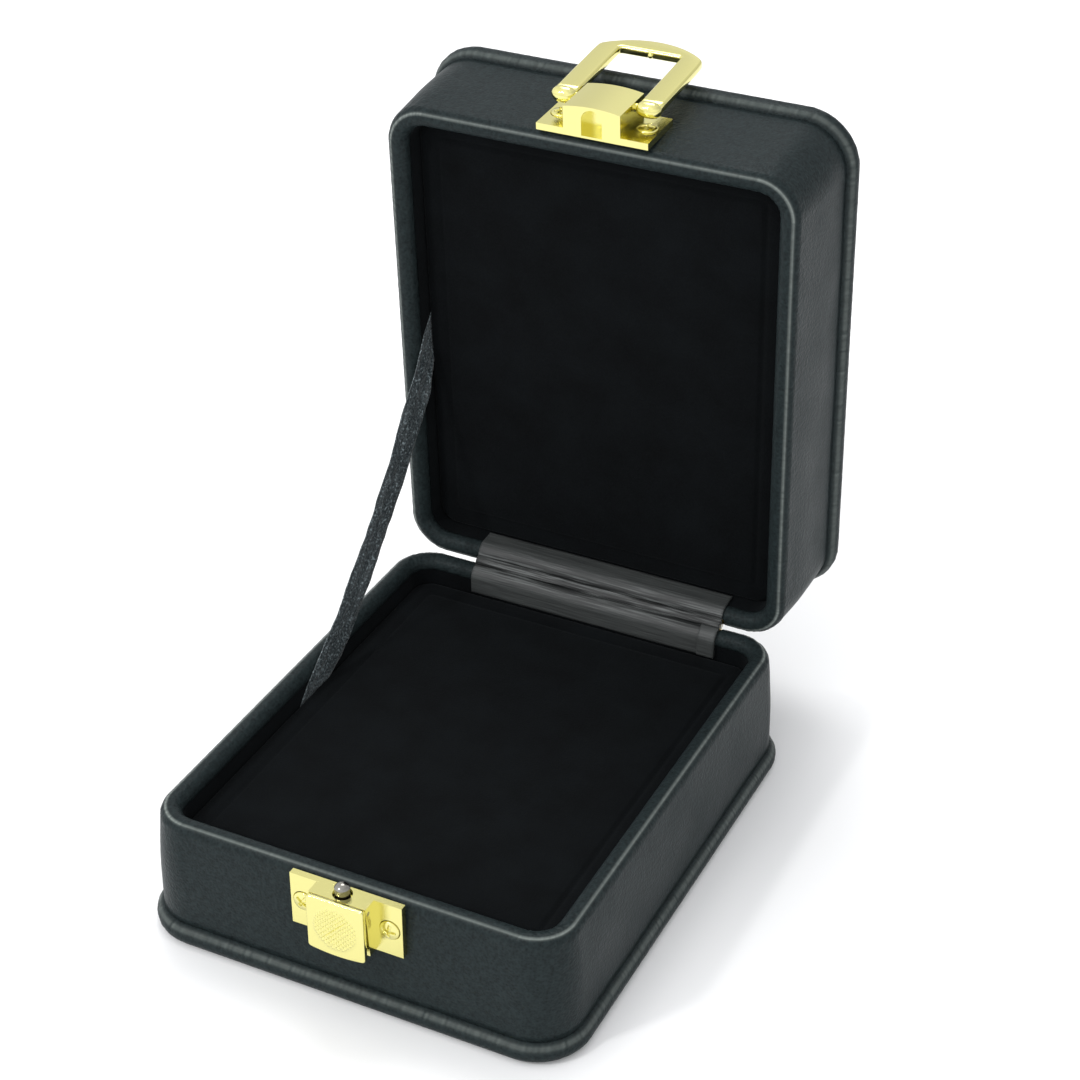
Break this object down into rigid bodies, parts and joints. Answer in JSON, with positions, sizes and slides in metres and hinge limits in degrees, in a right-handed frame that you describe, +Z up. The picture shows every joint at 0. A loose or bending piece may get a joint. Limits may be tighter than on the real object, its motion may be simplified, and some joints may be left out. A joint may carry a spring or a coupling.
{
  "type": "hinged jewelry box",
  "caption": "Open hinged jewelry box covered in leatherette, velvet lined, with a ribbon stay, a push-button lock and a bail handle.",
  "frame": {"origin": "centre of the flat underside of the base, on the surface that it stands on", "axes": "+Z up, -Y towards the lock, +X to the right seen from the lock, the hinge line along X at the back"},
  "size_m": [0.0808, 0.1222, 0.1249],
  "materials": {
    "moulded_plastic": "moulded, hidden under the covering",
    "leatherette": "black fine-grained leatherette with a soft satin sheen",
    "foam": "soft white foam, hidden",
    "greyboard": "pressed board, hidden",
    "velvet": "black short-pile velvet",
    "hinge_metal": "plated steel piano hinge",
    "steel": "polished steel",
    "hinge_leatherette": "thin creased leatherette, a little greyer than the walls",
    "satin_ribbon": "black satin ribbon",
    "gold_plate": "polished pale gold plating"
  },
  "bodies": {
    "base": {"base_carcass": "moulded_plastic", "base_wall_wrap": "leatherette", "base_rim_bead": "foam", "base_board": "greyboard", "base_board_cover": "leatherette", "base_liner": "velvet", "base_insert_card": "greyboard", "base_insert_foam": "foam", "base_insert_velvet": "velvet", "hinge_base_leaf": "hinge_metal", "hinge_pin": "steel", "hinge_strip": "hinge_leatherette", "ribbon_stay": "satin_ribbon", "lock_body": "gold_plate", "lock_screws": "gold_plate", "lock_pivot_pin": "steel", "lock_spring": "steel"},
    "lid": {"lid_carcass": "moulded_plastic", "lid_wall_wrap": "leatherette", "lid_rim_bead": "foam", "lid_board": "greyboard", "lid_board_cover": "leatherette", "lid_liner": "velvet", "lid_insert_card": "greyboard", "lid_insert_foam": "foam", "lid_insert_velvet": "velvet", "hinge_lid_leaf": "hinge_metal", "catch_body": "gold_plate", "catch_screws": "gold_plate", "bail_pins": "gold_plate"},
    "button": {"lock_button": "gold_plate", "lock_stud": "steel"},
    "bail": {"bail": "gold_plate"}
  },
  "joints": [
    {"name": "lid_hinge", "type": "hinge", "parent": "base", "child": "lid", "pos_m": [0.0016, 0.04575, 0.0246], "axis": [1, 0, 0], "range_deg": [0, 87], "deforming": ["hinge_strip", "ribbon_stay"]},
    {"name": "button_rock", "type": "hinge", "parent": "base", "child": "button", "pos_m": [0.0014, -0.05005, 0.02305], "axis": [1, 0, 0], "range_deg": [0, 5], "stiffness_Nm_per_rad": 0.02, "springref_deg": -11.46, "deforming": ["lock_spring"]},
    {"name": "bail_swing", "type": "hinge", "parent": "lid", "child": "bail", "pos_m": [0.0014, 0.04706, 0.1218], "axis": [1, 0, 0], "range_deg": [-8, 155]}
  ]
}
